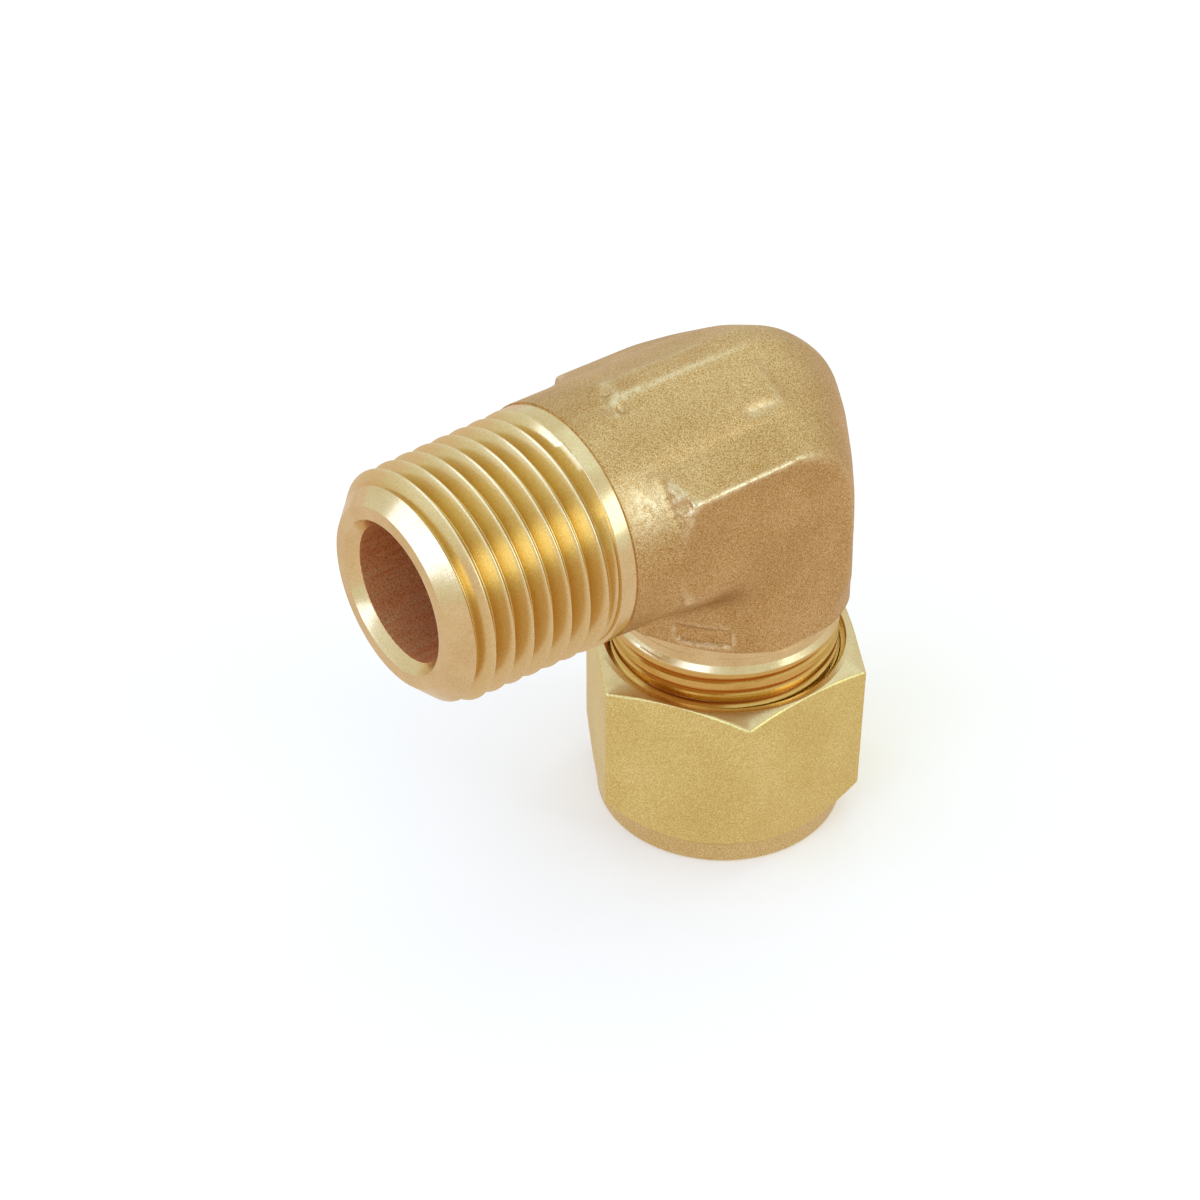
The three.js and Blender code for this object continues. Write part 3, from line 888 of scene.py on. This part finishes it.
finish_mesh(
    pipe_end, 28, pipe_brass,
    (pipe_thread_brass, on_pipe_thread),
    (bore_brass, lambda points, normals: from_pipe_axis(points) < BORE + NEAR),
)

# Elbow: the neck

NECK_START = TUBE_BARREL_END + RELIEF_LENGTH


def neck_fade(height):
    """The groove grows from nothing at its start."""
    return min(1.0, max(0.0, (height - NECK_START + 0.3) / 0.8))


neck = screw(
    "elbow_neck",
    thread_profile(NECK_PITCH, NECK_DEPTH, NECK_CREST_FLAT, NECK_ROOT_FLAT, 0.05),
    NECK_PITCH, NECK_CREST_AT, lambda height: NECK_CREST,
    TUBE_BARREL_END, NECK_END + 0.5, TUBE_LEG, fade=neck_fade,
)
# The crests of the first turns are lower, and grow to their full height over the turn after
combine(
    neck, "INTERSECT",
    turned(
        "envelope",
        rounded(
            [
                (NECK_CREST - NECK_DEPTH, NECK_START - 0.8),
                (RELIEF, NECK_START, 0.3),
                (RELIEF + 0.4, NECK_START + 0.6, 0.2),
                (RELIEF + 0.4, NECK_START + 4.0, 0.2),
                (NECK_CREST + 0.1, NECK_START + 5.2, 0),
                (NECK_CREST + 0.1, NECK_END - NECK_CHAMFER - 0.1, 0),
                (NECK_CREST - NECK_CHAMFER, NECK_END, 0),
                (AXIS, NECK_END),
            ]
        ),
        TUBE_LEG,
    ),
)
combine(
    neck, "UNION",
    turned(
        "relief",
        rounded(
            [
                (AXIS, TUBE_BARREL_END - LAP),
                (RELIEF, TUBE_BARREL_END - LAP, 0),
                (RELIEF, NECK_START, 0.4),
                (NECK_CREST - NECK_DEPTH - 0.1, NECK_START + 0.7),
            ]
        ),
        TUBE_LEG,
    ),
)
combine(
    neck, "DIFFERENCE",
    turned(
        "socket",
        [
            (SOCKET, TUBE_STOP),
            (SOCKET, NECK_END - CONE_DEPTH),
            (CONE_MOUTH, NECK_END),
            (CONE_MOUTH, NECK_END + 1),
        ],
        TUBE_LEG,
    ),
)


def on_neck_thread(points, normals):
    """Faces of the thread, from a little past the relief to the neck's end."""
    return (from_tube_axis(points) > RELIEF - 1) & (points[:, 2] < CROSSING.z - NECK_START - 0.75)


finish_mesh(neck, 28, neck_brass, (neck_thread_brass, on_neck_thread))


# Nut

# Where a half side of the hexagon gets its columns, in degrees from the corner
COLUMNS_AT = [0, 0.3, 0.62, 1.0, 1.6, 2.5, 4, 6, 8, 10, 12, 14, 16, 18, 20, 22, 24, 26, 28, 30]


def hexagon_radius(angle):
    """The radius of the hexagon with its rounded edges, at an angle from a corner."""
    a = abs(angle)
    centre = (NUT_FLAT - NUT_EDGE) / math.cos(HALF_SIDE)
    touch = math.atan2(NUT_EDGE * 0.5, centre + NUT_EDGE * math.cos(HALF_SIDE))
    if a >= touch:
        return NUT_FLAT / math.cos(HALF_SIDE - a)
    return centre * math.cos(a) + math.sqrt(NUT_EDGE ** 2 - (centre * math.sin(a)) ** 2)


def nut_solid():
    """The hexagon with its collar and top chamfer, before its hole is cut."""
    offsets = [-d for d in reversed(COLUMNS_AT[1:-1])] + COLUMNS_AT
    columns = []
    for corner in range(6):
        for offset in offsets:
            angle = math.radians(60 * corner + offset)
            c, d = math.cos(angle), math.sin(angle)
            edge = hexagon_radius(math.radians(offset))
            profile = rounded(
                [
                    (0, 0),
                    (COLLAR, 0, 0.4),
                    (COLLAR, COLLAR_HEIGHT, 0.3),
                    (edge, COLLAR_HEIGHT + edge - COLLAR, 0.35),
                    (edge, NUT_LENGTH - (edge - NUT_TOP) * NUT_TOP_SLOPE, 0.45),
                    (NUT_TOP, NUT_LENGTH, 0.3),
                    (NUT_MOUTH - 1, NUT_LENGTH, 0),
                    (0, NUT_LENGTH),
                ]
            )[1:-1]
            columns.append([(r * c, r * d, h) for r, h in profile])
    return loft("nut", columns, ON_NUT_AXIS)


nut = nut_solid()
nut_crest = NECK_CREST + THREAD_FIT
thread_low = NUT_LENGTH - NUT_THREAD
thread_room = turned(
    "room",
    [
        (NUT_MINOR - 0.2, thread_low),
        (nut_crest + 1, thread_low + nut_crest + 1.2 - NUT_MINOR),
        (nut_crest + 1, NUT_LENGTH + 1),
    ],
    ON_NUT_AXIS,
)
nut_thread = screw(
    "thread",
    thread_profile(NECK_PITCH, NECK_DEPTH, NECK_CREST_FLAT, NECK_ROOT_FLAT, 0.04),
    NECK_PITCH, NECK_CREST_AT, lambda height: nut_crest,
    CENTRE_TO_NUT_END - NUT_LENGTH - 1, CENTRE_TO_NUT_END, TUBE_LEG,
)
combine(nut_thread, "INTERSECT", thread_room)
nut_bore = turned(
    "bore",
    rounded(
        [
            (NUT_HOLE + HOLE_EDGE + 1, -1),
            (NUT_HOLE, HOLE_EDGE, 0.1),
            (NUT_HOLE, SEAT_FLOOR),
            (NUT_MINOR, SEAT_FLOOR + NUT_MINOR - NUT_HOLE),
            (NUT_MINOR, NUT_LENGTH - (NUT_MOUTH - NUT_MINOR), 0.1),
            (NUT_MOUTH - 0.05, NUT_LENGTH - 0.05),
            (NUT_MOUTH + 0.95, NUT_LENGTH + 0.95),
        ]
    ),
    ON_NUT_AXIS,
)
combine(nut, "DIFFERENCE", nut_bore, nut_thread)


def on_collar(points, normals):
    """Faces of the collar, but not of the ring that the nut stands on."""
    return (points[:, 2] < COLLAR_HEIGHT) & (normals[:, 2] > -0.5)


def on_nut_top(points, normals):
    return (normals[:, 2] > 0.8) & (points[:, 2] > NUT_LENGTH - 2)


def in_nut(points, normals):
    height = points[:, 2]
    return (from_tube_axis(points) < NUT_MOUTH - NEAR) & (height < NUT_LENGTH - NEAR) & (height > NEAR)


# The nut's inner thread takes the thread colours, with painted shade at the roots
finish_mesh(
    nut, 35, nut_skin,
    (collar_skin, on_collar), (neck_brass, on_nut_top), (neck_thread_brass, in_nut),
)

# Ferrules

front = turned(
    "ferrule_front",
    rounded(
        [
            (FERRULE_BORE, FRONT_FLOOR + POCKET + 0.1),
            (NUT_HOLE, FRONT_FLOOR + POCKET),
            (NUT_HOLE + POCKET, FRONT_FLOOR, 0),
            (FRONT_RADIUS, FRONT_FLOOR, 0.15),
            (FRONT_RADIUS, FRONT_TOP, 0.15),
            (CONE_MOUTH - SEAT_GAP, FRONT_TOP, 0.1),
            (CONE_MOUTH - SEAT_GAP - NOSE * CONE, FRONT_TOP + NOSE, 0.08),
            (FERRULE_BORE, FRONT_TOP + NOSE),
        ]
    ),
    ON_NUT_AXIS, closed=True,
)
back = turned(
    "ferrule_back",
    rounded(
        [
            (FERRULE_BORE, BACK_FLOOR),
            (NUT_HOLE, BACK_FLOOR, 0.05),
            (BACK_RADIUS, BACK_HEEL, 0.2),
            (BACK_RADIUS, BACK_TOP, 0.15),
            (NUT_HOLE + POCKET - SEAT_GAP, BACK_TOP, 0.1),
            (NUT_HOLE, BACK_TOP + POCKET - SEAT_GAP, 0.05),
            (FERRULE_BORE, BACK_TOP + POCKET - SEAT_GAP),
        ]
    ),
    ON_NUT_AXIS, closed=True,
)
for ring in (front, back):
    finish_mesh(ring, 28, neck_brass)

# Pieces and bodies

for piece in (forging, pipe_end, neck):
    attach(piece, "elbow")
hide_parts("elbow_body")
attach(nut, "nut")
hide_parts("compression_nut")
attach(front, "ferrules")
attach(back, "ferrules")
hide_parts("front_ferrule")
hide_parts("back_ferrule")

# Floor, light and camera

FLOOR_SIZE = 3000
# How brightly the floor glows for the camera, and as what the metal mirrors
FLOOR_LIFT, FLOOR_SHINE = 0.12, 0.83


def floor():
    """White for the camera, grey where it lights the object, and a warm glow in the metal's mirror."""
    plane = mesh_object(
        "floor",
        [
            (-FLOOR_SIZE, -FLOOR_SIZE, 0), (FLOOR_SIZE, -FLOOR_SIZE, 0),
            (FLOOR_SIZE, FLOOR_SIZE, 0), (-FLOOR_SIZE, FLOOR_SIZE, 0),
        ],
        [(0, 1, 2, 3)],
        Matrix.Identity(4),
    )
    material, tree = new_material("studio_floor")
    ray = add(tree, "ShaderNodeLightPath").outputs
    colour = mix_colour(tree, ray["Is Camera Ray"], linear("706A64"), linear("FFF8F5"))
    glow = mix_colour(tree, ray["Is Glossy Ray"], (1, 1, 1, 1), linear("E2D2C6"))
    lift = calculate(tree, "MULTIPLY", ray["Is Camera Ray"], FLOOR_LIFT)
    lift = calculate(tree, "MULTIPLY_ADD", ray["Is Glossy Ray"], FLOOR_SHINE, lift)
    show(tree, add(
        tree, "ShaderNodeBsdfPrincipled", {},
        {
            "Base Color": colour,
            "Roughness": 0.9,
            "Specular IOR Level": 0.0,
            "Emission Color": glow,
            "Emission Strength": lift,
        },
    ))
    plane.data.materials.append(material)


floor()

# What the lamps aim at, in metres
OBJECT_MIDDLE = Vector((0.0, 0.0, 0.024))


def softbox(name, azimuth, elevation, distance, size, power, colour):
    """A rectangular lamp at an azimuth (from +X towards +Y) and elevation in degrees, aimed at the object.
    Its distance and size are in metres and its power in watts."""
    a, e = math.radians(azimuth), math.radians(elevation)
    out = Vector((math.cos(a) * math.cos(e), math.sin(a) * math.cos(e), math.sin(e)))
    light = bpy.data.lights.new(name, "AREA")
    light.shape = "RECTANGLE"
    light.size, light.size_y = size
    light.energy = power
    light.color = colour
    lamp = bpy.data.objects.new(name, light)
    lamp.location = OBJECT_MIDDLE + out * distance
    lamp.rotation_euler = out.to_track_quat("Z", "Y").to_euler()
    bpy.context.scene.collection.objects.link(lamp)


softbox(
    "key", azimuth=-57, elevation=28, distance=0.6, size=(0.35, 0.3), power=0.63, colour=(0.62, 0.8, 1.0)
)
softbox(
    "window", azimuth=176, elevation=29, distance=0.6, size=(0.9, 0.23), power=1.85,
    colour=(0.385, 0.533, 1.0),
)
softbox(
    "top", azimuth=12, elevation=60, distance=0.6, size=(0.5, 0.5), power=0.24, colour=(0.47, 0.76, 1.0)
)

world = bpy.data.worlds.new("studio")
bpy.context.scene.world = world
world.use_nodes = True
world.node_tree.nodes.clear()
sky = add(world.node_tree, "ShaderNodeBackground", {}, {"Color": (0.93, 1.0, 0.96, 1), "Strength": 0.85})
world_out = add(world.node_tree, "ShaderNodeOutputWorld")
world.node_tree.links.new(sky.outputs[0], world_out.inputs[0])

# The camera's place and turn were fitted to the object's edges in the photograph. Its azimuth is from -Y
# towards +X, and the pixels are those of the photograph.
AZIMUTH, ELEVATION, DISTANCE = math.radians(-37.59), math.radians(37.37), 217.2
FOCAL_PIXELS, IMAGE = 2500, 1200
CROSSING_PIXEL = (730.96, 447.30)
SENSOR = 36

backward = Vector((
    math.sin(AZIMUTH) * math.cos(ELEVATION),
    -math.cos(AZIMUTH) * math.cos(ELEVATION),
    math.sin(ELEVATION),
))
right = Vector((math.cos(AZIMUTH), math.sin(AZIMUTH), 0))
up = backward.cross(right)
across = (CROSSING_PIXEL[0] - IMAGE / 2) / FOCAL_PIXELS * DISTANCE
above = -(CROSSING_PIXEL[1] - IMAGE / 2) / FOCAL_PIXELS * DISTANCE
place = CROSSING - across * right - above * up + DISTANCE * backward

camera_data = bpy.data.cameras.new("camera")
camera_data.sensor_width = SENSOR
camera_data.lens = SENSOR * FOCAL_PIXELS / IMAGE
camera_data.clip_start = 0.01
camera_data.clip_end = 20
camera = bpy.data.objects.new("camera", camera_data)
camera.matrix_world = Matrix.Translation(place * MM) @ Matrix((right, up, backward)).transposed().to_4x4()
bpy.context.scene.collection.objects.link(camera)
bpy.context.scene.camera = camera
bpy.context.scene.view_settings.view_transform = "Standard"
